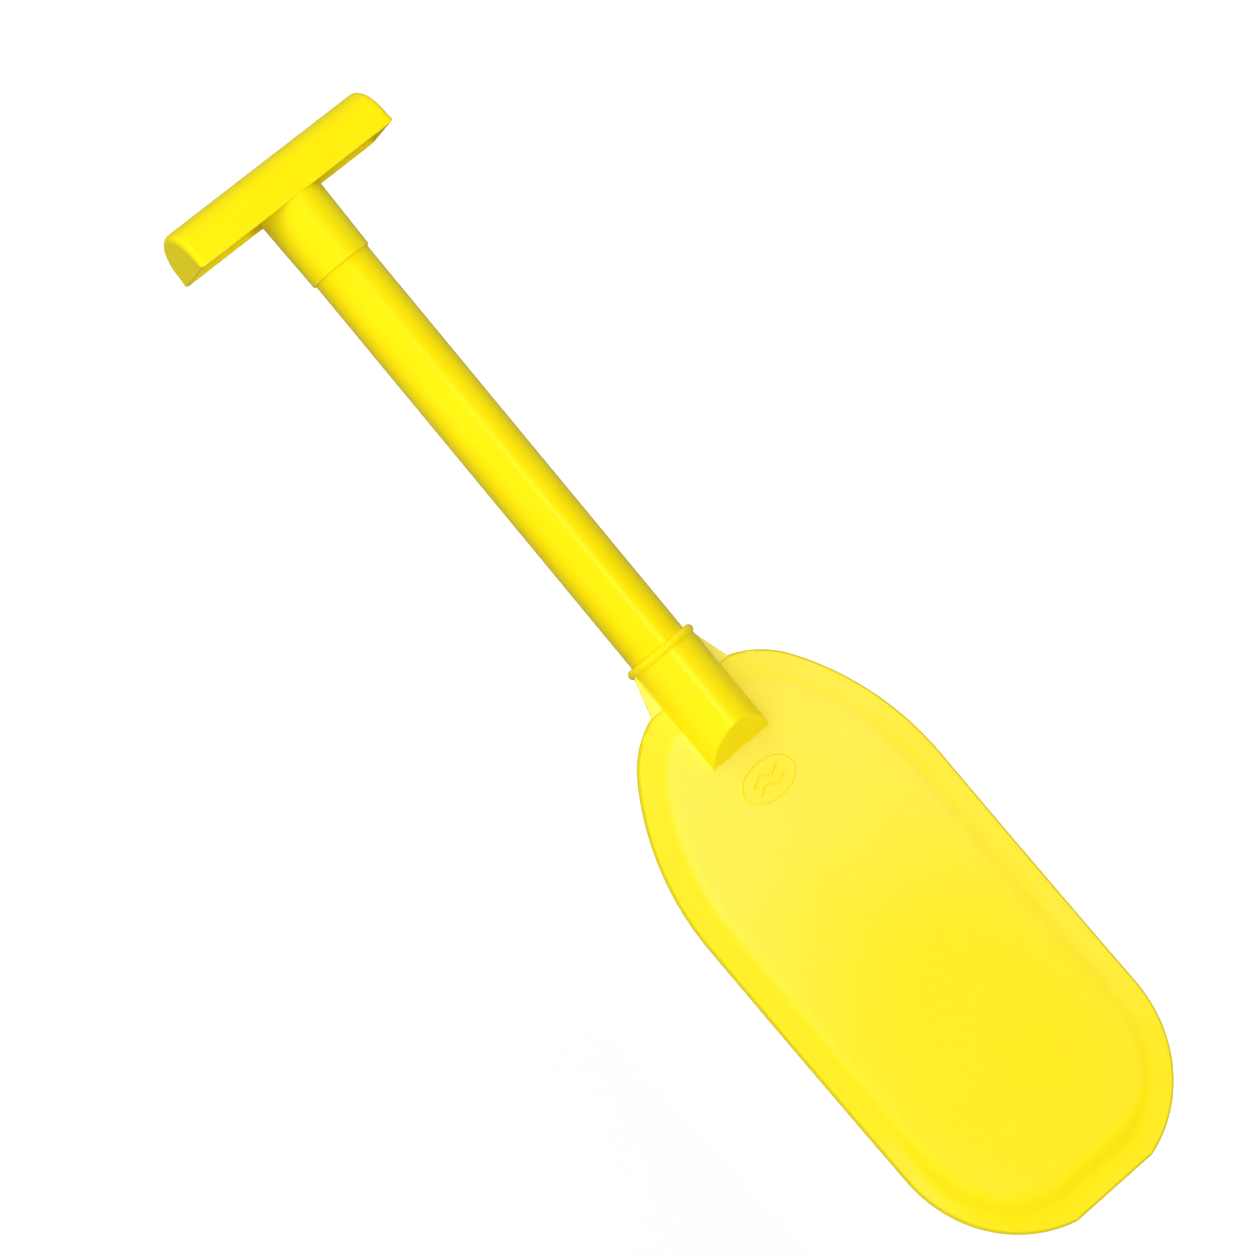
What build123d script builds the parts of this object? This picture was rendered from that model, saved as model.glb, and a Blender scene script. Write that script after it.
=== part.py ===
from build123d import *
import os
from math import acos, cos, degrees, radians, sin, sqrt, tan

# A small one-hand boat paddle: a hollow T-grip, a round tube shaft and a flat
# blade with a round socket. Millimetres. X runs along the shaft towards the
# blade's tip, Y runs across the blade and Z points up out of the blade's face.
# The origin is under the middle of the paddle, at the height of its lowest point.

# ---------------------------------------------------------------- driving sizes
# shaft tube
tube_diameter = 32.0
tube_wall = 1.8
tube_length = 338.0
tube_end_break = 0.4
push_fit = 0.1              # radial gap between the tube and the bores it is pushed into

# T-grip: a D-section crossbar, open towards the blade, on a tapered collar
bar_length = 126.0          # across
bar_height = 24.2           # along the shaft
bar_wall = 2.2
bar_end_round = 3.0
bar_overhang = 0.1          # how far the crossbar's faces stand out past the collar
collar_length = 38.9        # from the crossbar's open edge to the collar's mouth
collar_top_wall = 1.8
collar_mouth_wall = 1.1
collar_edge_round = 0.5
stop_ledge = 1.95           # between the tube's end and the dome's own wall
relief_step = 2.6           # the hollow beyond the tube's end is this much smaller in radius

# blade socket
socket_wall = 2.5
socket_length = 62.9        # from its mouth to where its slanted end meets the blade
socket_end_slant = 33.0     # degrees, from square across the shaft
socket_end_wall = 4.1       # along the shaft, past the bottom of the bore
socket_end_gap = 0.5        # between the tube's end and the bottom of the bore
bead_width = 5.0
bead_height = 1.3           # how far the bead stands out of the socket

# blade
blade_width = 158.4
blade_reach = 278.3         # from the socket's closed end to the tip, along the shaft
blade_bend_radius = 4300.0
plate_thickness = 2.0       # the rim, and the whole back of the blade
shoulder_from_mouth = 24.4  # where the shoulders start, at the foot of the gussets
shoulder_side_radius = 144.0
shoulder_side_sweep = 35.6  # degrees of the large shoulder arc
shoulder_top_radius = 53.0
tip_corner_radius = 70.0
tip_trim = 2.0              # how much the flat tip cuts off the rounded end
rim_width = 11.5            # the flat band outside the raised panel's slope
rim_edge_round = 0.85
panel_rise = 0.8            # the front of the panel stands this much above the rim
panel_slope_width = 6.5
gusset_thickness = 1.4
gusset_top_width = 0.2      # past the socket's side, just behind the bead
gusset_foot_width = 7.8     # past the socket's side, where the shoulders start
gusset_lap = 2.0            # how far a gusset runs into the plate

# moulded emblem: an oval ring round two plain waves
emblem_from_socket = 20.3
emblem_half_width = 16.2
emblem_half_height = 10.1
emblem_line = 1.0
emblem_height = 0.4
wave_half_length = 9.0
wave_height = 1.3
wave_spacing = 5.2

# ---------------------------------------------------------------- derived sizes and places
tube_radius = tube_diameter / 2
bore_radius = tube_radius + push_fit
relief_radius = bore_radius - relief_step
collar_top_radius = bore_radius + collar_top_wall
collar_mouth_radius = bore_radius + collar_mouth_wall
bar_radius = collar_top_radius + bar_overhang
socket_radius = bore_radius + socket_wall
bead_radius = socket_radius + bead_height
axis_height = max(bead_radius, bar_radius)
panel_top = plate_thickness / 2 + panel_rise


def dome_depth(radius):
    """How far below the crossbar's top its rounded outside lies, at this distance from the axis."""
    return bar_radius - sqrt(bar_radius**2 - radius**2)


grip_stop_depth = dome_depth(bore_radius) + bar_wall + stop_ledge
grip_relief_depth = dome_depth(relief_radius) + bar_wall
grip_insertion = bar_height + collar_length - grip_stop_depth
bore_end_setback = (bore_radius - panel_top) * tan(radians(socket_end_slant))
socket_bore_depth = socket_length - bore_end_setback - socket_end_wall
socket_insertion = socket_bore_depth - socket_end_gap
exposed_tube = tube_length - grip_insertion - socket_insertion
overall_length = bar_height + collar_length + exposed_tube + socket_length + blade_reach

grip_top_x = -overall_length / 2
bar_edge_x = grip_top_x + bar_height
collar_mouth_x = bar_edge_x + collar_length
tube_start_x = collar_mouth_x - grip_insertion
socket_mouth_x = collar_mouth_x + exposed_tube
bead_x = socket_mouth_x + bead_width / 2
socket_end_x = socket_mouth_x + socket_length
shoulder_x = socket_mouth_x + shoulder_from_mouth
tip_x = socket_end_x + blade_reach
emblem_x = socket_end_x + emblem_from_socket
emblem_bend_rise = (emblem_x - shoulder_x) ** 2 / (2 * blade_bend_radius)
shoulder_half_width = socket_radius + gusset_foot_width

shaft_axis = Axis((0, 0, axis_height), (1, 0, 0))
side_plane = Plane(origin=(0, 0, axis_height), x_dir=(1, 0, 0), z_dir=(0, -1, 0))
plan_plane = Plane.XY.offset(axis_height)


def cross_plane(x):
    """A plane square to the shaft at x, facing the blade's tip."""
    return Plane(origin=(x, 0, axis_height), x_dir=(0, 1, 0), z_dir=(1, 0, 0))


# ---------------------------------------------------------------- T-grip
def bar_section(wall):
    """The crossbar's D outline, moved in by wall but still reaching the crossbar's open edge."""
    radius = bar_radius - wall
    dome_x = grip_top_x + bar_radius
    with BuildSketch(side_plane) as section:
        with BuildLine():
            Line((bar_edge_x, -radius), (dome_x, -radius))
            ThreePointArc((dome_x, -radius), (dome_x - radius, 0), (dome_x, radius))
            Polyline((dome_x, radius), (bar_edge_x, radius), (bar_edge_x, -radius))
        make_face()
    return section.sketch


with BuildPart() as grip_cavity:
    extrude(bar_section(bar_wall), amount=bar_length / 2 - bar_wall, both=True)
    with BuildSketch(cross_plane(grip_top_x)):
        Circle(collar_top_radius)
    extrude(amount=bar_height, mode=Mode.SUBTRACT)

with BuildPart() as t_grip:
    extrude(bar_section(0), amount=bar_length / 2, both=True)
    end_edges = t_grip.faces().filter_by(Axis.Y).edges()
    closed_end_edges = end_edges.filter_by(lambda edge: edge.center().X < bar_edge_x - bar_wall / 2)
    fillet(closed_end_edges, radius=bar_end_round)
    add(grip_cavity.part, mode=Mode.SUBTRACT)
    with BuildSketch(side_plane):
        with BuildLine():
            Polyline(
                (bar_edge_x - bar_wall, 0),
                (bar_edge_x - bar_wall, collar_top_radius),
                (bar_edge_x, collar_top_radius),
                (collar_mouth_x, collar_mouth_radius),
                (collar_mouth_x, 0),
                close=True,
            )
        make_face()
    revolve(axis=shaft_axis)
    mouth_edge = t_grip.edges().filter_by(GeomType.CIRCLE).sort_by(Axis.X)[-1]
    fillet(mouth_edge, radius=collar_edge_round)
    with BuildSketch(cross_plane(collar_mouth_x)):
        Circle(bore_radius)
    extrude(amount=-grip_insertion, mode=Mode.SUBTRACT)
    with BuildSketch(cross_plane(tube_start_x)):
        Circle(relief_radius)
    extrude(amount=-(grip_stop_depth - grip_relief_depth), mode=Mode.SUBTRACT)
t_grip.part.label = "t_grip"

# ---------------------------------------------------------------- shaft tube
with BuildPart() as shaft_tube:
    with BuildSketch(cross_plane(tube_start_x)):
        Circle(tube_radius)
        Circle(tube_radius - tube_wall, mode=Mode.SUBTRACT)
    extrude(amount=tube_length)
    chamfer(shaft_tube.edges().filter_by(GeomType.CIRCLE), length=tube_end_break)
shaft_tube.part.label = "shaft_tube"


# ---------------------------------------------------------------- blade
def blade_outline(inset, start_half_width):
    """The blade's plan outline moved in by inset, from its shoulders to its tip.

    Each shoulder is two tangent arcs, each side is straight and the tip is a
    large rounded end that a short flat cuts off.
    """
    half_width = blade_width / 2 - inset
    side_radius = shoulder_side_radius - inset
    top_radius = shoulder_top_radius - inset
    corner_radius = tip_corner_radius - inset
    sweep = radians(shoulder_side_sweep)

    # the two shoulder arcs' centres, measured from the place where the side starts
    radius_step = shoulder_side_radius - shoulder_top_radius
    side_centre_y = blade_width / 2 - shoulder_side_radius
    top_centre_x = -radius_step * sin(sweep)
    top_centre_y = side_centre_y + radius_step * cos(sweep)
    foot_angle = acos((shoulder_half_width - top_centre_y) / shoulder_top_radius)
    side_start_x = shoulder_x + shoulder_top_radius * sin(foot_angle) - top_centre_x

    start_angle = acos((start_half_width - top_centre_y) / top_radius)
    start_x = side_start_x + top_centre_x - top_radius * sin(start_angle)
    corner_centre_x = tip_x + tip_trim - tip_corner_radius
    corner_centre_y = half_width - corner_radius
    flat_x = tip_x - inset
    flat_half_width = corner_centre_y + sqrt(corner_radius**2 - (flat_x - corner_centre_x) ** 2)

    sweep_point = (
        side_start_x - side_radius * sin(sweep),
        side_centre_y + side_radius * cos(sweep),
    )
    with BuildSketch(plan_plane) as outline:
        with BuildLine():
            Line((start_x, 0), (start_x, start_half_width))
            RadiusArc((start_x, start_half_width), sweep_point, top_radius)
            RadiusArc(sweep_point, (side_start_x, half_width), side_radius)
            Line((side_start_x, half_width), (corner_centre_x, half_width))
            RadiusArc((corner_centre_x, half_width), (flat_x, flat_half_width), corner_radius)
            Line((flat_x, flat_half_width), (flat_x, 0))
            mirror(about=Plane.XZ)
        make_face()
    return outline.sketch


def bent_slab(bottom, top):
    """A wide slab between two heights that starts level and bends gently upwards."""
    bend_angle = degrees(overall_length / blade_bend_radius)
    with BuildPart() as slab:
        with BuildSketch(side_plane):
            with BuildLine():
                lower = JernArc((shoulder_x, bottom), (1, 0), blade_bend_radius - bottom, bend_angle)
                upper = JernArc((shoulder_x, top), (1, 0), blade_bend_radius - top, bend_angle)
                Line(lower @ 1, upper @ 1)
                Line(lower @ 0, upper @ 0)
            make_face()
        extrude(amount=blade_width, both=True)
    return slab.part


with BuildPart() as raised_panel:
    extrude(blade_outline(rim_width, tube_radius), amount=blade_width / 2, both=True)
    add(bent_slab(0, panel_top), mode=Mode.INTERSECT)
    panel_face = raised_panel.faces().sort_by(SortBy.AREA)[-2:].sort_by(Axis.Z)[-1]
    chamfer(
        panel_face.edges(),
        length=panel_slope_width,
        length2=panel_rise,
        reference=panel_face,
    )

with BuildPart() as rim_plate:
    extrude(blade_outline(0, shoulder_half_width), amount=blade_width / 2, both=True)
    add(bent_slab(-plate_thickness / 2, plate_thickness / 2), mode=Mode.INTERSECT)
    broad_faces = rim_plate.faces().sort_by(SortBy.AREA)[-2:]
    outline_edges = broad_faces.edges().filter_by(lambda edge: edge.center().X > shoulder_x + gusset_lap)
    fillet(outline_edges, radius=rim_edge_round)

with BuildPart() as socket_body:
    wedge_height = 2 * socket_radius
    wedge_setback = wedge_height * tan(radians(socket_end_slant))
    with BuildSketch(cross_plane(bead_x)):
        Circle(socket_radius)
    extrude(amount=socket_end_x - bead_x)
    with BuildSketch(side_plane):
        with BuildLine():
            Polyline(
                (socket_end_x, panel_top),
                (socket_end_x - wedge_setback, panel_top + wedge_height),
                (socket_end_x + wedge_setback, panel_top + wedge_height),
                (socket_end_x + wedge_setback, panel_top),
                close=True,
            )
        make_face()
        mirror(about=Plane.XZ)
    extrude(amount=2 * socket_radius, both=True, mode=Mode.SUBTRACT)

with BuildPart() as emblem:
    with BuildSketch(plan_plane):
        with Locations((emblem_x, 0)):
            Ellipse(emblem_half_height, emblem_half_width)
            Ellipse(
                emblem_half_height - emblem_line,
                emblem_half_width - emblem_line,
                mode=Mode.SUBTRACT,
            )
        for row in (-0.5, 0.5):
            row_x = emblem_x + row * wave_spacing
            with BuildLine() as wave:
                Spline(
                    (row_x + wave_height, -wave_half_length),
                    (row_x - wave_height, -wave_half_length / 3),
                    (row_x + wave_height, wave_half_length / 3),
                    (row_x - wave_height, wave_half_length),
                )
            trace(wave.line, line_width=emblem_line)
    extrude(amount=panel_top + emblem_bend_rise + emblem_height)

with BuildPart() as blade:
    add(rim_plate.part)
    add(raised_panel.part)
    add(socket_body.part)
    with BuildSketch(plan_plane):
        with BuildLine():
            Polyline(
                (bead_x, 0),
                (bead_x, socket_radius + gusset_top_width),
                (shoulder_x + gusset_lap, shoulder_half_width),
                (shoulder_x + gusset_lap, 0),
            )
            mirror(about=Plane.XZ)
        make_face()
    extrude(amount=gusset_thickness / 2, both=True)
    with BuildSketch(side_plane):
        with Locations((bead_x, bead_radius - bead_width / 2)):
            Circle(bead_width / 2)
    revolve(axis=shaft_axis)
    add(emblem.part)
    with BuildSketch(cross_plane(socket_mouth_x)):
        Circle(bore_radius)
    extrude(amount=socket_bore_depth, mode=Mode.SUBTRACT)
blade.part.label = "blade"


# ---------------------------------------------------------------- output
os.makedirs("parts", exist_ok=True)
export_step(t_grip.part, "parts/t_grip.step")
export_step(shaft_tube.part, "parts/shaft_tube.step")
export_step(blade.part, "parts/blade.step")
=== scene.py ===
import math

import bmesh
import bpy
from mathutils import Matrix, Vector, kdtree, noise


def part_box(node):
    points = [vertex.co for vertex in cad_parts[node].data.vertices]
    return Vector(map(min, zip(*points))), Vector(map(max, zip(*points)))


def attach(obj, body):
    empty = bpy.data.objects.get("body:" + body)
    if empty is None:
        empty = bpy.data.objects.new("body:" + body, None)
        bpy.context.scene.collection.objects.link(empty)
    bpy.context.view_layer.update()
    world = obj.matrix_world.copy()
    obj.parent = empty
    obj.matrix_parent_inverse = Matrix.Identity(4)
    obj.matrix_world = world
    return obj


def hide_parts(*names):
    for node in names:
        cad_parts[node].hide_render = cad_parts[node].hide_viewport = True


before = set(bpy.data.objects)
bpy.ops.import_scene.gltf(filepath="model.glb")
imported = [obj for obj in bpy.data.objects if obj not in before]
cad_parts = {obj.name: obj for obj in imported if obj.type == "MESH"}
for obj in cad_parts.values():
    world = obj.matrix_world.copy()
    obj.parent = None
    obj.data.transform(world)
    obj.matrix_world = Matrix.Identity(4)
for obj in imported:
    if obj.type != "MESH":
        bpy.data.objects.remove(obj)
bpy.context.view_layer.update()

# A short one-hand boat paddle in three pieces: moulded T-grip, extruded tube and moulded blade.
# Metres. X runs along the shaft to the blade's tip, Y across the blade, Z out of its face.

MM = 0.001

# ---------------------------------------------------------------- sizes of the details
PUSH_FIT = 0.1 * MM
TUBE_WALL = 1.8 * MM
TUBE_END_ROUND = 0.4 * MM

BAR_HEIGHT = 24.2 * MM
BAR_WALL = 2.2 * MM
BAR_END_ROUND = 3.4 * MM
BAR_EDGE_END_SHARE = 0.6    # how much of that round is left at the open edge
BAR_EDGE_ROUND = 0.45 * MM
BAR_EDGE_TUCK = 1.1 * MM    # how far the open edge draws back at the bar's ends
HOLLOW_END_ROUND = 1.5 * MM
COLLAR_TOP_WALL = 1.8 * MM
COLLAR_MOUTH_WALL = 1.1 * MM
COLLAR_MOUTH_ROUND = 0.5 * MM
RELIEF_STEP = 2.6 * MM
STOP_LEDGE_DEPTH = 5.0 * MM

SOCKET_WALL = 2.5 * MM
SOCKET_LENGTH = 62.9 * MM
SOCKET_END_SLANT = math.radians(33)
SOCKET_END_ROUND = 1.2 * MM
SOCKET_END_ROUND_FADE = 6 * MM    # over what height the end's round grows from the panel up
BEAD_WIDTH = 5.0 * MM
BORE_END_GAP = 0.5 * MM

PLATE_HALF = 1.0 * MM
BEND_RADIUS = 4.3
SHOULDER_FROM_MOUTH = 24.4 * MM
SHOULDER_SIDE_RADIUS = 144 * MM
SHOULDER_SIDE_SWEEP = math.radians(35.6)
SHOULDER_TOP_RADIUS = 53 * MM
TIP_CORNER_RADIUS = 70 * MM
TIP_TRIM = 2 * MM
PANEL_TIP_BLEND = 2.6 * MM    # how softly the raised panel turns at the tip's corners
RIM_WIDTH = 11.5 * MM
RIM_EDGE_ROUND = 0.85 * MM
RIM_TAPER = 0.12 * MM
PANEL_RISE = 0.6 * MM
PANEL_SLOPE = 8 * MM
PANEL_WARP = 0.05 * MM
WARP_FADE = 40 * MM
WARP_SCALE = 22             # noise cells to the metre
GUSSET_HALF = 0.7 * MM      # half its thickness
GUSSET_EDGE_ROUND = 0.3 * MM
GUSSET_TOP_WIDTH = 0.2 * MM
GUSSET_FOOT_WIDTH = 7.8 * MM
GUSSET_LAP = 2 * MM

EMBLEM_FROM_SOCKET = 20.3 * MM
EMBLEM_HALF_WIDTH = 16.2 * MM
EMBLEM_HALF_HEIGHT = 10.1 * MM
EMBLEM_LINE = 0.9 * MM
EMBLEM_RISE = 0.5 * MM
WAVE_HALF_LENGTH = 9 * MM
WAVE_HEIGHT = 1.3 * MM
WAVE_SPACING = 5.2 * MM
WAVE_HALF_COUNT = 1.5       # half waves from a wave's middle to its end

# ---------------------------------------------------------------- how fine the meshes are
ROUND_SEGMENTS = 160        # round the shaft
ACROSS = 48                 # across the blade
SHARP_ANGLE = math.radians(32)
MERGE_DISTANCE = 0.002 * MM
DEGENERATE_DISTANCE = 0.001 * MM
NORMAL_WEIGHT = 60

# ---------------------------------------------------------------- places from the CAD
grip_low, grip_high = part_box("t_grip")
tube_low, tube_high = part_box("shaft_tube")
blade_low, blade_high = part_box("blade")

AXIS_Z = (tube_low.z + tube_high.z) / 2
TUBE_RADIUS = (tube_high.z - tube_low.z) / 2
BORE_RADIUS = TUBE_RADIUS + PUSH_FIT

BAR_RADIUS = (grip_high.z - grip_low.z) / 2
BAR_HALF_LENGTH = (grip_high.y - grip_low.y) / 2
GRIP_TOP_X = grip_low.x
BAR_EDGE_X = GRIP_TOP_X + BAR_HEIGHT
COLLAR_MOUTH_X = grip_high.x
COLLAR_TOP_RADIUS = BORE_RADIUS + COLLAR_TOP_WALL
COLLAR_MOUTH_RADIUS = BORE_RADIUS + COLLAR_MOUTH_WALL

BLADE_HALF_WIDTH = (blade_high.y - blade_low.y) / 2
SOCKET_MOUTH_X = blade_low.x
SOCKET_END_X = SOCKET_MOUTH_X + SOCKET_LENGTH
SHOULDER_X = SOCKET_MOUTH_X + SHOULDER_FROM_MOUTH
TIP_X = blade_high.x
BEAD_RADIUS = AXIS_Z - blade_low.z
BEAD_X = SOCKET_MOUTH_X + BEAD_WIDTH / 2
SOCKET_RADIUS = BORE_RADIUS + SOCKET_WALL
SHOULDER_HALF_WIDTH = SOCKET_RADIUS + GUSSET_FOOT_WIDTH
PANEL_TOP = PLATE_HALF + PANEL_RISE
EMBLEM_X = SOCKET_END_X + EMBLEM_FROM_SOCKET


# ---------------------------------------------------------------- mesh tools
def spread(start, end, count):
    """count values from start towards end, without end."""
    return [start + (end - start) * i / count for i in range(count)]


def through(start, end, count):
    """count + 1 values from start to end."""
    return spread(start, end, count) + [end]


def smooth_step(t):
    t = min(max(t, 0), 1)
    return t * t * (3 - 2 * t)


def new_piece(name, vertices, faces):
    mesh = bpy.data.meshes.new(name)
    mesh.from_pydata(vertices, [], faces)
    mesh.validate()
    piece = bpy.data.objects.new(name, mesh)
    bpy.context.scene.collection.objects.link(piece)
    return piece


def loft(name, rings, wrap=False):
    """A closed mesh through rings of equal length: capped at both ends, or wrapped into a loop."""
    count = len(rings[0])
    vertices = [point for ring in rings for point in ring]
    rows = [(row, row + 1) for row in range(len(rings) - 1)]
    if wrap:
        rows.append((len(rings) - 1, 0))
    faces = []
    for here, there in rows:
        for i in range(count):
            j = (i + 1) % count
            faces.append((here * count + i, here * count + j, there * count + j, there * count + i))
    if not wrap:
        faces.append(tuple(reversed(range(count))))
        faces.append(tuple(range((len(rings) - 1) * count, len(rings) * count)))
    piece = new_piece(name, vertices, faces)
    face_outward(piece)
    return piece


def face_outward(piece):
    """Turns every face of a closed mesh to point outwards."""
    shape = bmesh.new()
    shape.from_mesh(piece.data)
    bmesh.ops.recalc_face_normals(shape, faces=shape.faces)
    shape.to_mesh(piece.data)
    shape.free()


def shaft_point(x, radius, turn):
    """A point at radius from the shaft's axis at x."""
    return Vector((x, radius * math.cos(turn), AXIS_Z + radius * math.sin(turn)))


def round_ring(x, radius):
    """A circle round the shaft's axis at x."""
    return [shaft_point(x, radius, turn) for turn in spread(0, 2 * math.pi, ROUND_SEGMENTS)]


def lathe(name, profile, wrap=False):
    """The profile, a list of (x, radius), turned round the shaft's axis."""
    return loft(name, [round_ring(x, radius) for x, radius in profile], wrap)


def corner(x, radius, size, start, count=6):
    """A quarter round of a lathe profile about (x, radius), from start degrees back by 90."""
    angles = [math.radians(a) for a in through(start, start - 90, count)]
    return [(x + size * math.cos(a), radius + size * math.sin(a)) for a in angles]


def combine(piece, other, operation):
    """Joins other into piece, cuts it out of piece or keeps what they share; other goes."""
    modifier = piece.modifiers.new("combine", "BOOLEAN")
    modifier.operation = operation
    modifier.solver = "EXACT"
    modifier.object = other
    bpy.context.view_layer.update()
    evaluated = piece.evaluated_get(bpy.context.evaluated_depsgraph_get())
    mesh = bpy.data.meshes.new_from_object(evaluated)
    piece.modifiers.clear()
    piece.data = mesh
    bpy.data.objects.remove(other)


def smooth(piece):
    """Smooth shading, with sharp edges only where the surface really turns."""
    shape = bmesh.new()
    shape.from_mesh(piece.data)
    bmesh.ops.remove_doubles(shape, verts=shape.verts, dist=MERGE_DISTANCE)
    bmesh.ops.dissolve_degenerate(shape, edges=shape.edges, dist=DEGENERATE_DISTANCE)
    shape.to_mesh(piece.data)
    shape.free()
    piece.data.shade_smooth()
    piece.data.set_sharp_from_angle(angle=SHARP_ANGLE)
    modifier = piece.modifiers.new("weighted normals", "WEIGHTED_NORMAL")
    modifier.keep_sharp = True
    modifier.weight = NORMAL_WEIGHT


# ---------------------------------------------------------------- shaft tube
def make_tube():
    inner = TUBE_RADIUS - TUBE_WALL
    outer_edge = TUBE_RADIUS - TUBE_END_ROUND
    inner_edge = inner + TUBE_END_ROUND
    start = tube_low.x
    end = tube_high.x
    profile = corner(start + TUBE_END_ROUND, inner_edge, TUBE_END_ROUND, 270)
    profile += corner(start + TUBE_END_ROUND, outer_edge, TUBE_END_ROUND, 180)
    profile += [(x, TUBE_RADIUS) for x in through(start, end, 60)[1:-1]]
    profile += corner(end - TUBE_END_ROUND, outer_edge, TUBE_END_ROUND, 90)
    profile += corner(end - TUBE_END_ROUND, inner_edge, TUBE_END_ROUND, 0)
    profile += [(x, inner) for x in through(end, start, 30)[1:-1]]
    piece = lathe("tube_shell", profile, wrap=True)
    smooth(piece)
    return piece


# ---------------------------------------------------------------- T-grip
def bar_ring(y, inset, tuck, edge_tuck):
    """The crossbar's D outline at y, moved in by inset, with small rounds at its open edge.

    tuck draws the outline in further at a rounded end: fully round the dome, less at the open edge.
    """
    dome_radius = BAR_RADIUS - inset - tuck
    side_z = BAR_RADIUS - inset - tuck * BAR_EDGE_END_SHARE
    dome_x = GRIP_TOP_X + BAR_RADIUS
    open_x = BAR_EDGE_X - edge_tuck
    size = BAR_EDGE_ROUND
    side_steps = [(t, open_x - size + (dome_x - open_x + size) * t) for t in spread(0, 1, 8)]
    half = [(open_x, z) for z in spread(0, side_z - size, 12)]
    for a in spread(0, math.pi / 2, 6):
        half.append((open_x - size + size * math.cos(a), side_z - size + size * math.sin(a)))
    for t, x in side_steps:
        half.append((x, side_z + (dome_radius - side_z) * smooth_step(t)))
    for a in through(math.pi / 2, math.pi, 48):
        half.append((dome_x + dome_radius * math.cos(a), dome_radius * math.sin(a)))
    ring = half + [(x, -z) for x, z in reversed(half[1:-1])]
    return [Vector((x, y, AXIS_Z + z)) for x, z in ring]


def bar_solid(name, inset, half_length, end_round, edge_tuck, overreach=0.0):
    """A D-section bar with rounded ends, which reaches past the open edge by overreach."""
    flat = half_length - end_round
    end_rings = []
    for turn in through(math.pi / 2, 0, 12)[:-1]:
        share = 1 - math.cos(turn)
        y = flat + end_round * math.sin(turn)
        end_rings.append((y, end_round * share, edge_tuck * share - overreach))
    rings = [bar_ring(-y, inset, tuck, edge) for y, tuck, edge in end_rings]
    rings += [bar_ring(y, inset, 0, -overreach) for y in through(-flat, flat, 48)]
    rings += [bar_ring(y, inset, tuck, edge) for y, tuck, edge in reversed(end_rings)]
    return loft(name, rings)


def make_grip():
    stop_x = tube_low.x
    piece = bar_solid("grip_shell", 0, BAR_HALF_LENGTH, BAR_END_ROUND, BAR_EDGE_TUCK)

    collar_profile = [(BAR_EDGE_X - BAR_WALL, COLLAR_TOP_RADIUS)]
    round_x = COLLAR_MOUTH_X - COLLAR_MOUTH_ROUND
    round_radius = COLLAR_MOUTH_RADIUS - COLLAR_MOUTH_ROUND
    for step in through(0, 1, 12):
        x = BAR_EDGE_X + (round_x - BAR_EDGE_X) * step
        radius = COLLAR_TOP_RADIUS + (COLLAR_MOUTH_RADIUS - COLLAR_TOP_RADIUS) * step
        collar_profile.append((x, radius))
    collar_profile += corner(round_x, round_radius, COLLAR_MOUTH_ROUND, 90)[1:]
    combine(piece, lathe("collar", collar_profile), "UNION")

    # the hollow and the core reach well past the open edge, so that their cuts are clean
    hollow_half = BAR_HALF_LENGTH - BAR_WALL
    hollow = bar_solid("hollow", BAR_WALL, hollow_half, HOLLOW_END_ROUND, 0, 2 * BAR_WALL)
    core_profile = [
        (GRIP_TOP_X - BAR_WALL, COLLAR_TOP_RADIUS),
        (BAR_EDGE_X + 3 * BAR_WALL, COLLAR_TOP_RADIUS),
    ]
    combine(hollow, lathe("core", core_profile), "DIFFERENCE")
    combine(piece, hollow, "DIFFERENCE")

    relief_radius = BORE_RADIUS - RELIEF_STEP
    bore_profile = [
        (stop_x - STOP_LEDGE_DEPTH, relief_radius),
        (stop_x, relief_radius),
        (stop_x, BORE_RADIUS),
        (COLLAR_MOUTH_X + BAR_WALL, BORE_RADIUS),
    ]
    combine(piece, lathe("bore", bore_profile), "DIFFERENCE")
    smooth(piece)
    return piece


# ---------------------------------------------------------------- blade
def arc_point(centre_x, centre_y, radius, angle):
    """A point of a plan arc; the angle turns from the +Y direction towards the grip."""
    return (centre_x - radius * math.sin(angle), centre_y + radius * math.cos(angle))


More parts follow.
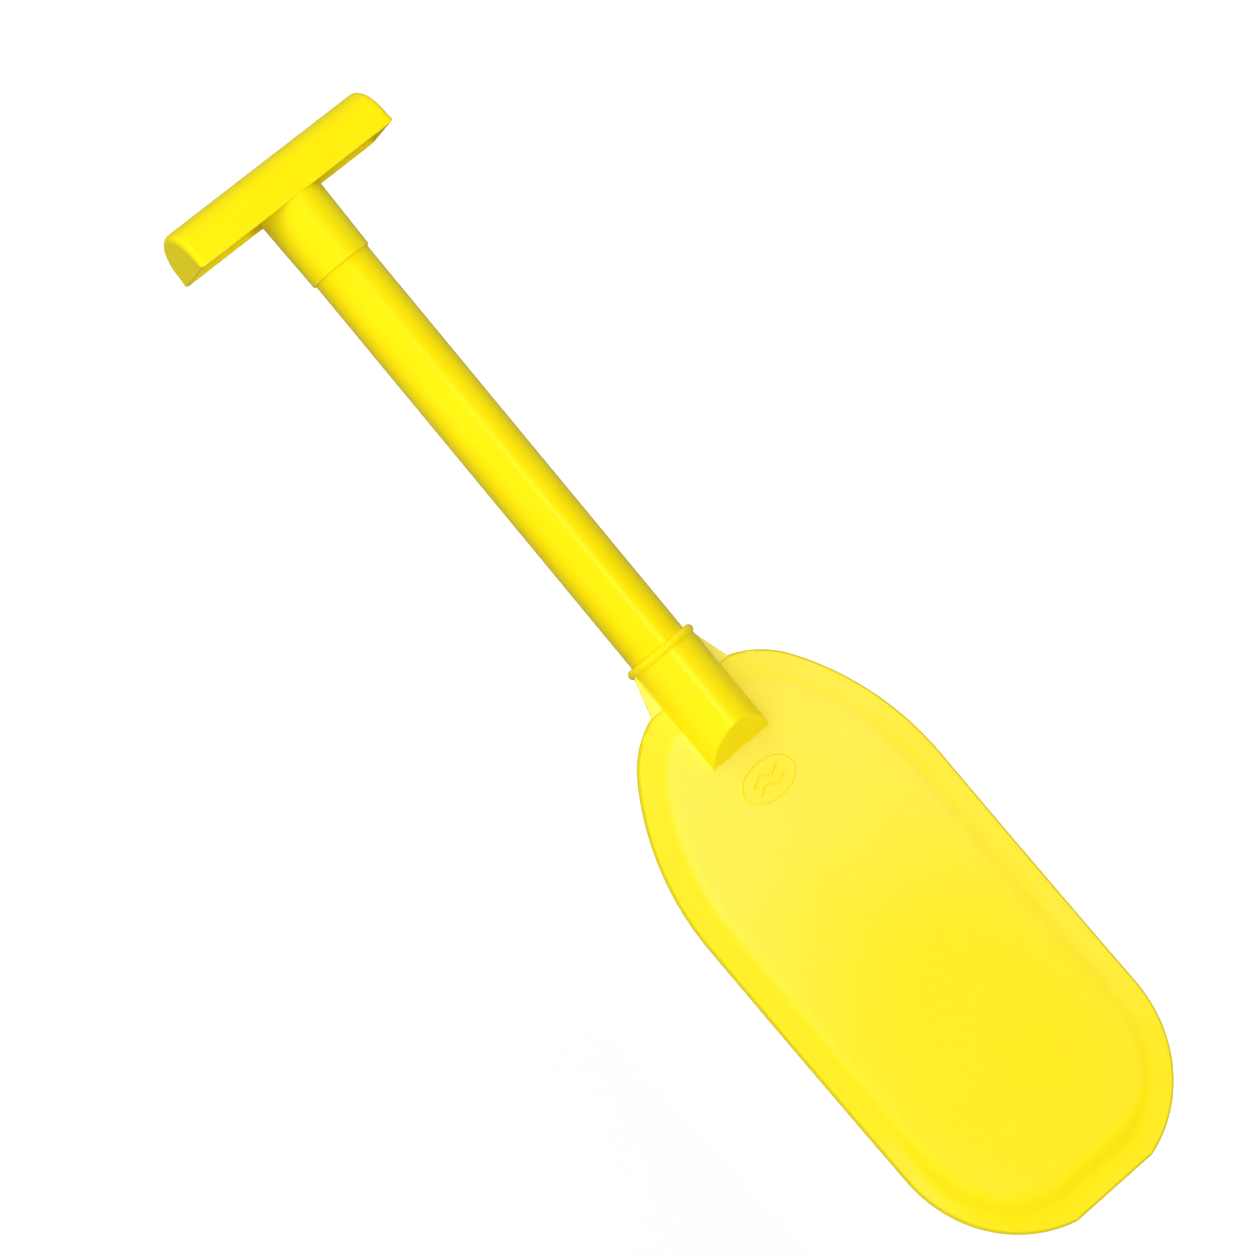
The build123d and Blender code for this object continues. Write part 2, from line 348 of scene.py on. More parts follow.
def outline_side(inset, start_half_width):
    """The +Y side of the blade's plan outline, moved in by inset, and the line across its tip."""
    half_width = BLADE_HALF_WIDTH - inset
    side_radius = SHOULDER_SIDE_RADIUS - inset
    top_radius = SHOULDER_TOP_RADIUS - inset
    corner_radius = TIP_CORNER_RADIUS - inset
    radius_step = SHOULDER_SIDE_RADIUS - SHOULDER_TOP_RADIUS

    side_centre_y = BLADE_HALF_WIDTH - SHOULDER_SIDE_RADIUS
    top_centre_y = side_centre_y + radius_step * math.cos(SHOULDER_SIDE_SWEEP)
    foot_angle = math.acos((SHOULDER_HALF_WIDTH - top_centre_y) / SHOULDER_TOP_RADIUS)
    top_centre_x = SHOULDER_X + SHOULDER_TOP_RADIUS * math.sin(foot_angle)
    side_centre_x = top_centre_x + radius_step * math.sin(SHOULDER_SIDE_SWEEP)
    corner_centre_x = TIP_X + TIP_TRIM - TIP_CORNER_RADIUS
    corner_centre_y = half_width - corner_radius

    start_angle = math.acos((start_half_width - top_centre_y) / top_radius)
    end_angle = math.asin((TIP_X - inset - corner_centre_x) / corner_radius)

    blend = PANEL_TIP_BLEND * min(inset / RIM_WIDTH, 1)
    flat_x = TIP_X - inset

    def tip_x(y):
        """Where the outline lies at y near the tip: the round end, cut softly by the flat."""
        reach = max(abs(y) - corner_centre_y, 0)
        round_x = corner_centre_x + math.sqrt(max(corner_radius**2 - reach**2, 0))
        if not blend:
            return min(round_x, flat_x)
        overlap = max(blend - abs(round_x - flat_x), 0) / blend
        return min(round_x, flat_x) - overlap**2 * blend / 4

    points = []
    for a in spread(start_angle, SHOULDER_SIDE_SWEEP, 48):
        points.append(arc_point(top_centre_x, top_centre_y, top_radius, a))
    for a in spread(SHOULDER_SIDE_SWEEP, 0, 48):
        points.append(arc_point(side_centre_x, side_centre_y, side_radius, a))
    for x in spread(side_centre_x, corner_centre_x, 48):
        points.append((x, half_width))
    for a in through(0, end_angle, 64):
        y = corner_centre_y + corner_radius * math.cos(a)
        points.append((tip_x(y), y))
    flat_end_y = points[-1][1]
    tip_line = [(tip_x(y), y) for y in through(flat_end_y, -flat_end_y, ACROSS)[1:]]
    return points, tip_line


def bend_rise(x):
    """How far the blade's gentle bend lifts its middle surface at x."""
    run = max(x - SHOULDER_X, 0)
    return BEND_RADIUS - math.sqrt(BEND_RADIUS**2 - run**2)


def plate_point(x, y, height):
    """A point at a height above the plate's middle surface, which bends and is slightly warped."""
    away = smooth_step((x - SOCKET_END_X) / WARP_FADE)
    warp = PANEL_WARP * away * noise.noise(Vector((x, y, 0)) * WARP_SCALE)
    return Vector((x, y, AXIS_Z + bend_rise(x) + height + warp))


def plate_loop(inset, height):
    """The closed outline of the plate, moved in by inset, at a height above its middle surface."""
    inward = (SHOULDER_HALF_WIDTH - TUBE_RADIUS) * min(inset / RIM_WIDTH, 1)
    start_half_width = SHOULDER_HALF_WIDTH - inward
    side, tip_line = outline_side(inset, start_half_width)
    start_x, start_y = side[0]
    loop = [(start_x, y) for y in spread(-start_y, start_y, ACROSS)]
    loop += side
    loop += tip_line
    loop += [(x, -y) for x, y in reversed(side[1:-1])]
    return [plate_point(x, y, height) for x, y in loop]


def rim_height(inset):
    """The front's height above the middle surface: a rim that thins outwards, a raised panel."""
    rim = PLATE_HALF - RIM_TAPER * (1 - min(inset / RIM_WIDTH, 1))
    return rim + PANEL_RISE * smooth_step((inset - RIM_WIDTH) / PANEL_SLOPE)


def make_plate():
    back_insets = (18 * MM, 10 * MM, 4 * MM, 1.6 * MM)
    rim_insets = (1.6 * MM, 3.5 * MM, 6 * MM, 9 * MM, 10.8 * MM)
    edge_turns = [math.radians(a) for a in through(0, 90, 8)]
    size = RIM_EDGE_ROUND
    loops = []
    # the back's inner loops, then round the edge, then the rim, the slope and the panel's border
    for inset in back_insets:
        loops.append(plate_loop(inset, -PLATE_HALF))
    for turn in reversed(edge_turns):
        depth = size * (1 - math.sin(turn))
        loops.append(plate_loop(size * (1 - math.cos(turn)), -PLATE_HALF + depth))
    front_edge = rim_height(0)
    for turn in edge_turns:
        depth = size * (1 - math.sin(turn))
        loops.append(plate_loop(size * (1 - math.cos(turn)), front_edge - depth))
    for inset in rim_insets:
        loops.append(plate_loop(inset, rim_height(inset)))
    for inset in through(RIM_WIDTH, RIM_WIDTH + PANEL_SLOPE, 12):
        loops.append(plate_loop(inset, rim_height(inset)))

    count = len(loops[0])
    vertices = [point for loop in loops for point in loop]
    faces = []
    for row in range(len(loops) - 1):
        here = row * count
        there = here + count
        for i in range(count):
            j = (i + 1) % count
            faces.append((here + i, here + j, there + j, there + i))

    def fill(row, height):
        """A grid of quads inside one loop, each row running straight across the blade."""
        first = row * count
        side_count = (count - 2 * ACROSS) // 2
        rows = [[first + i for i in range(ACROSS + 1)]]
        for step in range(1, side_count):
            right = first + ACROSS + step
            left = first + (count - step) % count
            x, half_width = vertices[right].x, vertices[right].y
            line = [left]
            for i in range(1, ACROSS):
                y = -half_width + 2 * half_width * i / ACROSS
                line.append(len(vertices))
                vertices.append(plate_point(x, y, height))
            line.append(right)
            rows.append(line)
        rows.append([first + ACROSS + side_count + ACROSS - i for i in range(ACROSS + 1)])
        for here, there in zip(rows, rows[1:]):
            for i in range(ACROSS):
                faces.append((here[i], here[i + 1], there[i + 1], there[i]))

    fill(0, -PLATE_HALF)
    fill(len(loops) - 1, PANEL_TOP)
    piece = new_piece("blade_shell", vertices, faces)
    face_outward(piece)
    return piece


def make_socket():
    """The round socket, with its bead and its closed end, which slants down to the plate."""
    bead_size = BEAD_WIDTH / 2
    ring_start = BEAD_RADIUS - bead_size
    rings = [round_ring(SOCKET_MOUTH_X, ring_start)]
    for a in [math.radians(a) for a in through(180, 0, 20)]:
        radius = ring_start + bead_size * math.sin(a)
        if a < math.pi / 2:
            radius = max(radius, SOCKET_RADIUS)
        rings.append(round_ring(BEAD_X + bead_size * math.cos(a), radius))
    end_slope = math.tan(SOCKET_END_SLANT)
    last_round = SOCKET_END_X - SOCKET_RADIUS * end_slope - 2 * SOCKET_END_ROUND
    rings += [round_ring(x, SOCKET_RADIUS) for x in through(BEAD_X + bead_size, last_round, 12)[1:]]

    turns = spread(0, 2 * math.pi, ROUND_SEGMENTS)

    def end_x(radius, turn):
        height = abs(radius * math.sin(turn))
        return SOCKET_END_X - max(height - PANEL_TOP, 0) * end_slope

    # the rounded corner where the wall meets the slanted end
    for step in through(0, 1, 10):
        ring = []
        for turn in turns:
            height = abs(SOCKET_RADIUS * math.sin(turn))
            size = SOCKET_END_ROUND * smooth_step((height - PANEL_TOP) / SOCKET_END_ROUND_FADE)
            sweep = math.pi / 2 - math.atan(abs(math.sin(turn)) * end_slope)
            setback = size * math.tan(sweep / 2)
            a = sweep * step
            x = end_x(SOCKET_RADIUS, turn) - setback + size * math.sin(a)
            ring.append(shaft_point(x, SOCKET_RADIUS - size + size * math.cos(a), turn))
        rings.append(ring)
    # the slanted end itself, in to its middle
    for share in (0.8, 0.6, 0.4, 0.2, 0.05):
        radius = (SOCKET_RADIUS - SOCKET_END_ROUND) * share
        rings.append([shaft_point(end_x(radius, turn), radius, turn) for turn in turns])
    return loft("socket", rings)


def make_gussets():
    """The thin flat web that fills in beside the socket, from its bead to the shoulders."""
    outline = [
        (BEAD_X, SOCKET_RADIUS + GUSSET_TOP_WIDTH),
        (SHOULDER_X + GUSSET_LAP, SHOULDER_HALF_WIDTH),
    ]
    size = GUSSET_EDGE_ROUND
    section = [
        (size, -GUSSET_HALF),
        (0, size - GUSSET_HALF),
        (0, GUSSET_HALF - size),
        (size, GUSSET_HALF),
    ]
    rings = []
    for inset, height in section:
        side = [(x, y - inset) for x, y in outline]
        loop = side + [(x, -y) for x, y in reversed(side)]
        rings.append([Vector((x, y, AXIS_Z + height)) for x, y in loop])
    return loft("gussets", rings)


def raised_line(name, path, closed):
    """A low rounded ridge along a path of (x, y) on the panel."""
    sides = 12
    rings = []
    last = len(path) - 1
    for i, (x, y) in enumerate(path):
        before = path[i - 1] if closed or i else path[i]
        after = path[(i + 1) % len(path)] if closed or i < last else path[i]
        along = Vector((after[0] - before[0], after[1] - before[1])).normalized()
        across = Vector((-along.y, along.x))
        ring = []
        for a in spread(0, 2 * math.pi, sides):
            offset = across * (EMBLEM_LINE / 2 * math.cos(a))
            height = PANEL_TOP + EMBLEM_RISE * math.sin(a)
            ring.append(plate_point(x + offset.x, y + offset.y, height))
        rings.append(ring)
    return loft(name, rings, wrap=closed)


def emblem_lines():
    """A blank oval with two plain waves in it."""
    oval = []
    for a in spread(0, 2 * math.pi, 120):
        x = EMBLEM_X + (EMBLEM_HALF_HEIGHT - EMBLEM_LINE / 2) * math.cos(a)
        y = (EMBLEM_HALF_WIDTH - EMBLEM_LINE / 2) * math.sin(a)
        oval.append((x, y))
    lines = [raised_line("oval", oval, True)]
    for row in (-0.5, 0.5):
        wave = []
        for y in through(-WAVE_HALF_LENGTH, WAVE_HALF_LENGTH, 60):
            phase = WAVE_HALF_COUNT * math.pi * (y / WAVE_HALF_LENGTH + 1)
            wave.append((EMBLEM_X + row * WAVE_SPACING + WAVE_HEIGHT * math.cos(phase), y))
        lines.append(raised_line("wave", wave, False))
    return lines


# ---------------------------------------------------------------- the blade's painted light and shade
# its painted shading: 1 where painted light makes the plastic palest, as on the gussets, 0 its own
# deep yellow, -1 the painted shade along its edge
GUSSET_PAINTED_LIGHT = 0.9
EDGE_PAINTED_SHADE = -0.8
EDGE_LINE = 0.9 * MM            # how wide the dark line along the blade's edge is
SOCKET_TONE = 0.0
# the emblem's raised lines, and the field within its oval, get less painted light than the panel
# round them
EMBLEM_TONE = 0.08
EMBLEM_FIELD_SHARE = 0.6        # the panel's tone within the oval, as a share of the tone round it

# painted light and shade: the panel's painted sheen is weakest, so it is deepest, in a broad oval
# beyond its middle
PANEL_DEEPEST = 0.08
PANEL_PALEST = 0.56
DEEP_OVAL_FROM_SOCKET = 184 * MM
DEEP_OVAL_TO_SOCKET = 115 * MM
DEEP_OVAL_TO_TIP = 150 * MM
DEEP_OVAL_ACROSS = 95 * MM
DEEP_OVAL_CORE = 0.3            # where the tone starts to pale, as a share of the oval
DEEP_OVAL_FADE = 1.25           # over how much more of it the tone pales

# painted light and shade on the rim: painted light makes it paler at +Y, painted shade deepens it
# round the tip, and one pale patch of painted reflection lies before its -Y corner
RIM_TONE = 0.2
RIM_TONE_TILT = 0.15            # how much paler the rim is at +Y than at the middle
RIM_SHOULDER_TONE = 0.17        # how much paler it is again round the +Y shoulder
SHOULDER_LENGTH = 50 * MM
TO_TIP_START = 80 * MM          # from the tip
TO_TIP_FADE = 50 * MM
TIP_DEEPENS = 0.7
RIM_STRENGTH = 0.9
RIM_FADE_START = RIM_WIDTH - 0.5 * MM
RIM_FADE = 7 * MM
PATCH_TONE = 0.3
PATCH_FROM_TIP = 63 * MM
PATCH_LENGTH = 22 * MM

# painted shade: a deep line follows the slope round the panel, faint along the sides, strong round
# the tip
LINE_PAINTED_SHADE = -0.15
LINE_FAINTEST = 0.25            # how much of it shows along the sides
LINE_AT_PLUS_Y = 0.2            # its strength at the tip's +Y corner, as a share of the full line
LINE_PLUS_Y_FROM = 0.62         # where it is that faint, as a share of the half width
LINE_PLUS_Y_FADE = 0.35
LINE_START = 85 * MM            # where it grows, from the tip, and how much later at +Y
LINE_START_TILT = 25 * MM
LINE_IN = 1.0 * MM              # how far in from the rim its middle runs
LINE_IN_AT_TIP = 2.5 * MM
LINE_OUT_IN_CORNER = 3.0 * MM   # how much nearer the edge it runs in the -Y corner
LINE_WIDTH = 2.0 * MM
LINE_WIDENS = 3.0 * MM
CORNER_FROM = 0.3               # where the -Y corner starts, as a share of the half width
CORNER_FADE = 0.3

ROUND_WALL_TILT = 0.4           # the most that a round wall's faces turn towards the shaft's ends


def on_socket(point):
    """Whether a point of the blade lies in the plan of its socket or bead."""
    on_bead = point.x < BEAD_X + BEAD_WIDTH / 2
    return on_bead or (point.x < SOCKET_END_X and abs(point.y) < SOCKET_RADIUS)


def panel_painted_shading(point):
    """The panel's painted light and shade, a little deeper again within the emblem's oval."""
    along = point.x - SOCKET_END_X - DEEP_OVAL_FROM_SOCKET
    reach = DEEP_OVAL_TO_TIP if along > 0 else DEEP_OVAL_TO_SOCKET
    oval = math.hypot(along / reach, point.y / DEEP_OVAL_ACROSS)
    paleness = smooth_step((oval - DEEP_OVAL_CORE) / DEEP_OVAL_FADE)
    painted_shading = PANEL_DEEPEST + (PANEL_PALEST - PANEL_DEEPEST) * paleness
    emblem = math.hypot((point.x - EMBLEM_X) / EMBLEM_HALF_HEIGHT, point.y / EMBLEM_HALF_WIDTH)
    return painted_shading * (1 - (1 - EMBLEM_FIELD_SHARE) * smooth_step((1.05 - emblem) / 0.5))


def rim_painted_shading(point, side, to_tip):
    """The rim's painted light and shade; side runs from -1 to 1 across the blade, to_tip from 0 to
    1 near its tip.
    """
    painted_shading = (RIM_TONE + RIM_TONE_TILT * side) * (1 - TIP_DEEPENS * to_tip)
    past_shoulder = smooth_step((point.x - SHOULDER_X - SHOULDER_LENGTH) / SHOULDER_LENGTH)
    painted_shading += RIM_SHOULDER_TONE * (1 - past_shoulder) * smooth_step(3 * side)
    if side < 0:
        along_patch = (point.x - TIP_X + PATCH_FROM_TIP) / PATCH_LENGTH
        painted_shading += PATCH_TONE * math.exp(-along_patch ** 2) * smooth_step(-side * 3 - 1)
    return painted_shading


def shade_line_share(point, inset, side, to_tip):
    """How much of the painted shade line shows at a point: little along the sides, most round the
    tip.

    At the tip's -Y corner the line runs closer to the blade's edge.
    """
    to_line = smooth_step((point.x - TIP_X + LINE_START - LINE_START_TILT * side) / TO_TIP_FADE)
    off_plus_y = smooth_step((LINE_PLUS_Y_FROM - side) / LINE_PLUS_Y_FADE)
    strength = to_line * (LINE_AT_PLUS_Y + (1 - LINE_AT_PLUS_Y) * off_plus_y)
    in_corner = to_tip * smooth_step((-side - CORNER_FROM) / CORNER_FADE)
    middle = RIM_WIDTH + LINE_IN + LINE_IN_AT_TIP * to_tip - LINE_OUT_IN_CORNER * in_corner
    width = LINE_WIDTH + LINE_WIDENS * strength
    across = (inset - middle) / width
    return math.exp(-across ** 2) * (LINE_FAINTEST + (1 - LINE_FAINTEST) * strength)


def blade_painted_shading(point, inset):
    """The painted light and shade at a point of the blade, inset from the blade's outline."""
    height = point.z - AXIS_Z - bend_rise(point.x)
    on_web = abs(height) < 1.05 * GUSSET_HALF
    if point.x < SHOULDER_X - GUSSET_HALF or (point.x < SHOULDER_X + GUSSET_HALF and on_web):
        return GUSSET_PAINTED_LIGHT
    if height > PANEL_TOP + EMBLEM_RISE / 3:
        return EMBLEM_TONE
    if inset < EDGE_LINE:
        return EDGE_PAINTED_SHADE

    side = point.y / BLADE_HALF_WIDTH
    to_tip = smooth_step((point.x - TIP_X + TO_TIP_START) / TO_TIP_FADE)
    painted_shading = panel_painted_shading(point)
    rim = 1 - smooth_step((inset - RIM_FADE_START) / RIM_FADE)
    painted_shading += (rim_painted_shading(point, side, to_tip) - painted_shading) * rim * RIM_STRENGTH
    return painted_shading + (LINE_PAINTED_SHADE - painted_shading) * shade_line_share(point, inset, side, to_tip)


def paint_light_and_shade(piece):
    """Keeps the painted light and shade and the gloss of each face's corners in the mesh, for the
    blade's material.
    """
    outline = plate_loop(0, 0)
    tree = kdtree.KDTree(len(outline))
    for index, point in enumerate(outline):
        tree.insert((point.x, point.y, 0), index)
    tree.balance()
    mesh = piece.data
    plate_tones = []
    for vertex in mesh.vertices:
        inset = tree.find((vertex.co.x, vertex.co.y, 0))[2]
        plate_tones.append(blade_painted_shading(vertex.co, inset))
    tones = [plate_tones[loop.vertex_index] for loop in mesh.loops]
    glosses = [0.0] * len(mesh.loops)
    for polygon in mesh.polygons:
        if on_socket(polygon.center):
            round_wall = abs(polygon.normal.x) < ROUND_WALL_TILT
            for index in polygon.loop_indices:
                tones[index] = SOCKET_TONE
                glosses[index] = float(round_wall)
    for name, values in (("painted_shading", tones), ("gloss", glosses)):
        mesh.attributes.new(name, "FLOAT", "CORNER").data.foreach_set("value", values)


def make_blade():
    piece = make_plate()
    combine(piece, make_gussets(), "UNION")
    combine(piece, make_socket(), "UNION")
    for line in emblem_lines():
        combine(piece, line, "UNION")
    bore_start = SOCKET_MOUTH_X - BEAD_WIDTH
    bore_end = tube_high.x + BORE_END_GAP
    bore = lathe("bore", [(bore_start, BORE_RADIUS), (bore_end, BORE_RADIUS)])
    combine(piece, bore, "DIFFERENCE")
    smooth(piece)
    paint_light_and_shade(piece)
    return piece


# ---------------------------------------------------------------- materials
PLASTIC_IOR = 1.49
PLASTIC_GLOSS = 0.22            # how much it reflects: the shader's Specular IOR Level
REFLECTION_TINT = (1.0, 0.95, 0.25, 1)
LIGHT_REACH = (1.0, 0.6, 0.08)  # how far red, green and blue light travel inside the plastic
LIGHT_DEPTH = 3 * MM
CLOUD_SCALE = 16
SCUFF_SCALE = 90
SCUFF_STRETCH = (0.25, 1.4, 1.4)
SCUFF_ROUGHNESS = 0.05
GRAIN_SCALE = 2600
LINE_SCALE = 900
LINE_STRETCH = (0.004, 1, 1)    # the tube's fine lines run along it
BUMP_DEPTH = 0.03 * MM
SOCKET_POLISH = 0.2             # how much less rough the blade's socket is than its plate

TUBE_PALE = (0.96, 0.775, 0.002)
TUBE_DEEP = (0.94, 0.745, 0.0)
GRIP_PALE = (0.95, 0.79, 0.003)
GRIP_DEEP = (0.93, 0.765, 0.001)
# the blade's colours: a pale one for painted light and sheen, its own deep yellow, and a dark one
# for painted shade
BLADE_PAINTED_PALE = (0.97, 0.82, 0.14)
BLADE_DEEP = (0.96, 0.775, 0.004)
BLADE_EDGE_SHADE = (0.62, 0.53, 0.01)


def yellow_plastic(name, pale, deep, roughness, grain, translucency, lines=0.0, toned=False):
    """Yellow plastic with faint clouding, a fine grain and rare soft scuffs.

    lines is the strength of fine lines along the shaft. A toned plastic takes its colour, with its
    painted light and shade, from the painted shading kept in the mesh, and its polish from the
    gloss kept there.
    """
    material = bpy.data.materials.new(name)
    material.use_nodes = True
    nodes = material.node_tree.nodes
    links = material.node_tree.links
    shader = nodes["Principled BSDF"]
    shader.inputs["IOR"].default_value = PLASTIC_IOR
    shader.inputs["Specular IOR Level"].default_value = PLASTIC_GLOSS
    shader.inputs["Specular Tint"].default_value = REFLECTION_TINT
    shader.inputs["Subsurface Weight"].default_value = translucency
    shader.inputs["Subsurface Radius"].default_value = LIGHT_REACH
    shader.inputs["Subsurface Scale"].default_value = LIGHT_DEPTH

    place = nodes.new("ShaderNodeTexCoord")

    def stretched_noise(scale, stretch, detail, distortion=0.0):
        mapping = nodes.new("ShaderNodeMapping")
        mapping.inputs["Scale"].default_value = stretch
        links.new(place.outputs["Object"], mapping.inputs["Vector"])
        texture = nodes.new("ShaderNodeTexNoise")
        texture.inputs["Scale"].default_value = scale
        texture.inputs["Detail"].default_value = detail
        texture.inputs["Distortion"].default_value = distortion
        links.new(mapping.outputs["Vector"], texture.inputs["Vector"])
        return texture.outputs["Fac"]

    def ranged(value, low, high, to_low, to_high):
        node = nodes.new("ShaderNodeMapRange")
        node.inputs["From Min"].default_value = low
        node.inputs["From Max"].default_value = high
        node.inputs["To Min"].default_value = to_low
        node.inputs["To Max"].default_value = to_high
        links.new(value, node.inputs["Value"])
        return node.outputs["Result"]

    def bump(height, strength):
        node = nodes.new("ShaderNodeBump")
        node.inputs["Strength"].default_value = strength
        node.inputs["Distance"].default_value = BUMP_DEPTH
        links.new(height, node.inputs["Height"])
        return node

    clouds = stretched_noise(CLOUD_SCALE, (1, 1, 1), 3, 0.4)
    blend = nodes.new("ShaderNodeMix")
    blend.data_type = "RGBA"
    blend.inputs["A"].default_value = (*deep, 1)
    blend.inputs["B"].default_value = (*pale, 1)
    # the blade's colour: painted light towards the pale colour as the painted shading rises,
    # painted shade towards the dark colour where it falls below zero
    if toned:
        attribute = nodes.new("ShaderNodeAttribute")
        attribute.attribute_name = "painted_shading"
        clouded = nodes.new("ShaderNodeMath")
        clouded.operation = "MULTIPLY"
        links.new(attribute.outputs["Fac"], clouded.inputs[0])
        links.new(ranged(clouds, 0.3, 0.7, 0.85, 1.15), clouded.inputs[1])
        links.new(clouded.outputs["Value"], blend.inputs["Factor"])
        painted_shade_mix = nodes.new("ShaderNodeMix")
        painted_shade_mix.data_type = "RGBA"
        painted_shade_mix.inputs["B"].default_value = (*BLADE_EDGE_SHADE, 1)
        links.new(ranged(attribute.outputs["Fac"], 0, -1, 0, 1), painted_shade_mix.inputs["Factor"])
        links.new(blend.outputs["Result"], painted_shade_mix.inputs["A"])
        links.new(painted_shade_mix.outputs["Result"], shader.inputs["Base Color"])
    else:
        links.new(ranged(clouds, 0.3, 0.7, 0, 1), blend.inputs["Factor"])
        links.new(blend.outputs["Result"], shader.inputs["Base Color"])

    scuffs = stretched_noise(SCUFF_SCALE, SCUFF_STRETCH, 6, 0.8)
    scuffed = ranged(scuffs, 0.5, 0.8, roughness, roughness + SCUFF_ROUGHNESS)
    if toned:
        gloss = nodes.new("ShaderNodeAttribute")
        gloss.attribute_name = "gloss"
        polished = nodes.new("ShaderNodeMath")
        polished.operation = "SUBTRACT"
        links.new(scuffed, polished.inputs[0])
        links.new(ranged(gloss.outputs["Fac"], 0, 1, 0, SOCKET_POLISH), polished.inputs[1])
        scuffed = polished.outputs["Value"]
    links.new(scuffed, shader.inputs["Roughness"])

    last_bump = bump(stretched_noise(GRAIN_SCALE, (1, 1, 1), 2), grain)
    if lines:
        line_bump = bump(stretched_noise(LINE_SCALE, LINE_STRETCH, 3), lines)
        links.new(last_bump.outputs["Normal"], line_bump.inputs["Normal"])
        last_bump = line_bump
    links.new(last_bump.outputs["Normal"], shader.inputs["Normal"])
    return material


tube_plastic = yellow_plastic(
    "tube plastic", TUBE_PALE, TUBE_DEEP, roughness=0.27, grain=0.1, translucency=0.05, lines=0.12
)
grip_plastic = yellow_plastic(
    "grip plastic", GRIP_PALE, GRIP_DEEP, roughness=0.33, grain=0.2, translucency=0.1
)
blade_plastic = yellow_plastic(
    "blade plastic", BLADE_PAINTED_PALE, BLADE_DEEP, roughness=0.46, grain=0.15, translucency=0.15,
    toned=True,
)


# ---------------------------------------------------------------- the pieces
def place_piece(piece, name, node, material):
    piece.name = name
    piece.data.name = name
    piece.data.materials.clear()
    piece.data.materials.append(material)
    for polygon in piece.data.polygons:
        polygon.material_index = 0
    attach(piece, "root")
    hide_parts(node)


place_piece(make_tube(), "tube_shell", "shaft_tube", tube_plastic)
place_piece(make_grip(), "grip_shell", "t_grip", grip_plastic)
place_piece(make_blade(), "blade_shell", "blade", blade_plastic)


# ---------------------------------------------------------------- stage, camera and lights
FLOOR_DROP = 0.4
STUDIO_RADIUS = 12.0
STUDIO_SEGMENTS = 96
BACKDROP_DROP = 0.5     # the backdrop starts below the floor, so that the two never coincide
BACKDROP_TOP = math.radians(85)
STUDIO_WHITE = (0.8, 0.8, 0.8, 1)
FLOOR_GLOW = 0.35
BACKDROP_GLOW = 0.9


def studio_paint(name, glow):
    """Plain pale paint that glows a little, so that it stays even."""
    material = bpy.data.materials.new(name)
    material.use_nodes = True
    shader = material.node_tree.nodes["Principled BSDF"]
    shader.inputs["Base Color"].default_value = STUDIO_WHITE
    shader.inputs["Roughness"].default_value = 0.9
    shader.inputs["Specular IOR Level"].default_value = 0.1
    shader.inputs["Emission Color"].default_value = (1, 1, 1, 1)
    shader.inputs["Emission Strength"].default_value = glow
    return material


def studio_ring(radius, height):
    """A level circle round the middle of the studio."""
    turns = spread(0, 2 * math.pi, STUDIO_SEGMENTS)
    return [Vector((radius * math.cos(a), radius * math.sin(a), height)) for a in turns]


def studio_floor():
    """A round floor, which the object neither mirrors nor takes light from."""
    ring = studio_ring(STUDIO_RADIUS, -FLOOR_DROP)
    floor = new_piece("floor", ring, [tuple(range(len(ring)))])
    floor.data.materials.append(studio_paint("floor paint", FLOOR_GLOW))
    floor.visible_diffuse = False
    floor.visible_glossy = False
    return floor


def studio_backdrop():
    """A pale half ball round the studio, seen only by the camera."""
    rings = []
    for rise in through(0, BACKDROP_TOP, 16):
        height = STUDIO_RADIUS * math.sin(rise) - FLOOR_DROP - BACKDROP_DROP
        rings.append(studio_ring(STUDIO_RADIUS * math.cos(rise), height))
    backdrop = loft("backdrop", rings)
    backdrop.data.materials.append(studio_paint("backdrop paint", BACKDROP_GLOW))
    backdrop.visible_diffuse = False
    backdrop.visible_glossy = False
    backdrop.visible_transmission = False
    backdrop.visible_shadow = False
    return backdrop


studio_floor()
studio_backdrop()

centre = Vector((0, 0, AXIS_Z))

VIEW_ROLL = math.radians(21.7)      # how far the view is turned round the shaft, towards -Y
VIEW_TILT = math.radians(0.2)       # how far it leans towards the tip
SHAFT_SLOPE = math.radians(50.43)   # how steeply the shaft runs down the picture
CAMERA_DISTANCE = 3.63
LENS = 215                          # focal length and sensor width in camera millimetres
SENSOR_WIDTH = 36
FARTHEST_SEEN = 60
AIM_ALONG = -35.6 * MM
AIM_ACROSS = -4.74 * MM

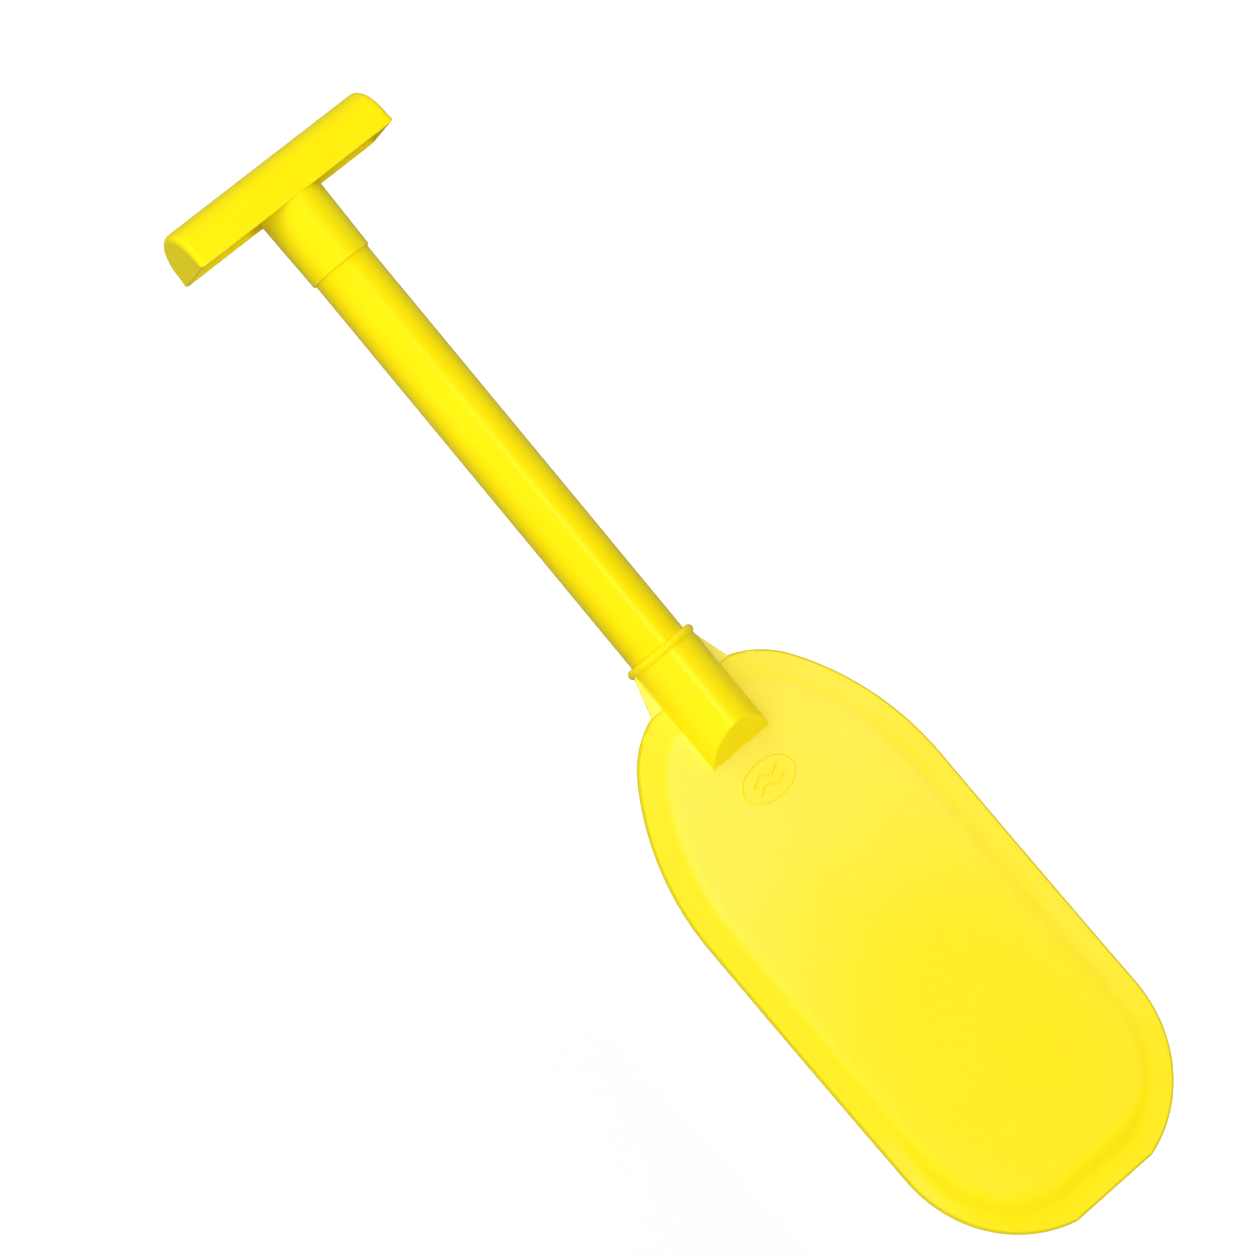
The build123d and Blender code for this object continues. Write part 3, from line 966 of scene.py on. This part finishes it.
to_camera = Vector((
    math.sin(VIEW_TILT),
    -math.sin(VIEW_ROLL) * math.cos(VIEW_TILT),
    math.cos(VIEW_ROLL) * math.cos(VIEW_TILT),
))
along = (Vector((1, 0, 0)) - to_camera * to_camera.x).normalized()
across = to_camera.cross(along)
right = along * math.cos(SHAFT_SLOPE) + across * math.sin(SHAFT_SLOPE)
up = across * math.cos(SHAFT_SLOPE) - along * math.sin(SHAFT_SLOPE)
aim = centre + along * AIM_ALONG + across * AIM_ACROSS

camera_data = bpy.data.cameras.new("camera")
camera_data.lens = LENS
camera_data.sensor_width = SENSOR_WIDTH
camera_data.clip_end = FARTHEST_SEEN
camera = bpy.data.objects.new("camera", camera_data)
bpy.context.scene.collection.objects.link(camera)
camera.matrix_world = Matrix.Translation(aim + to_camera * CAMERA_DISTANCE) @ Matrix((
    (right.x, up.x, to_camera.x),
    (right.y, up.y, to_camera.y),
    (right.z, up.z, to_camera.z),
)).to_4x4()
bpy.context.scene.camera = camera


def softbox(name, direction, distance, size, power):
    """A square soft light that shines at the object from a direction; power is in watts."""
    light_data = bpy.data.lights.new(name, "AREA")
    light_data.shape = "RECTANGLE"
    light_data.size = size
    light_data.size_y = size
    light_data.energy = power
    light = bpy.data.objects.new(name, light_data)
    bpy.context.scene.collection.objects.link(light)
    towards = Vector(direction).normalized()
    light.location = centre + towards * distance
    light.rotation_euler = towards.to_track_quat("Z", "Y").to_euler()


KEY_DISTANCE = 2.0
FILL_DISTANCE = 2.6
WORLD_STRENGTH = 0.25
softbox("key", (0.0, 0.1, 1.0), KEY_DISTANCE, size=0.5, power=11.5)
softbox("front fill", (-0.1, -1.0, 0.9), FILL_DISTANCE, size=4.0, power=56)
softbox("tip fill", (1.0, -0.1, 0.3), FILL_DISTANCE, size=1.8, power=17)
softbox("grip fill", (-1.0, -0.3, 0.6), FILL_DISTANCE, size=2.4, power=29)
softbox("back fill", (-0.6, 1.0, 0.3), FILL_DISTANCE, size=1.8, power=5)

world = bpy.data.worlds.new("studio")
world.use_nodes = True
world.node_tree.nodes["Background"].inputs["Color"].default_value = (1, 1, 1, 1)
world.node_tree.nodes["Background"].inputs["Strength"].default_value = WORLD_STRENGTH
bpy.context.scene.world = world
bpy.context.scene.view_settings.view_transform = "Standard"
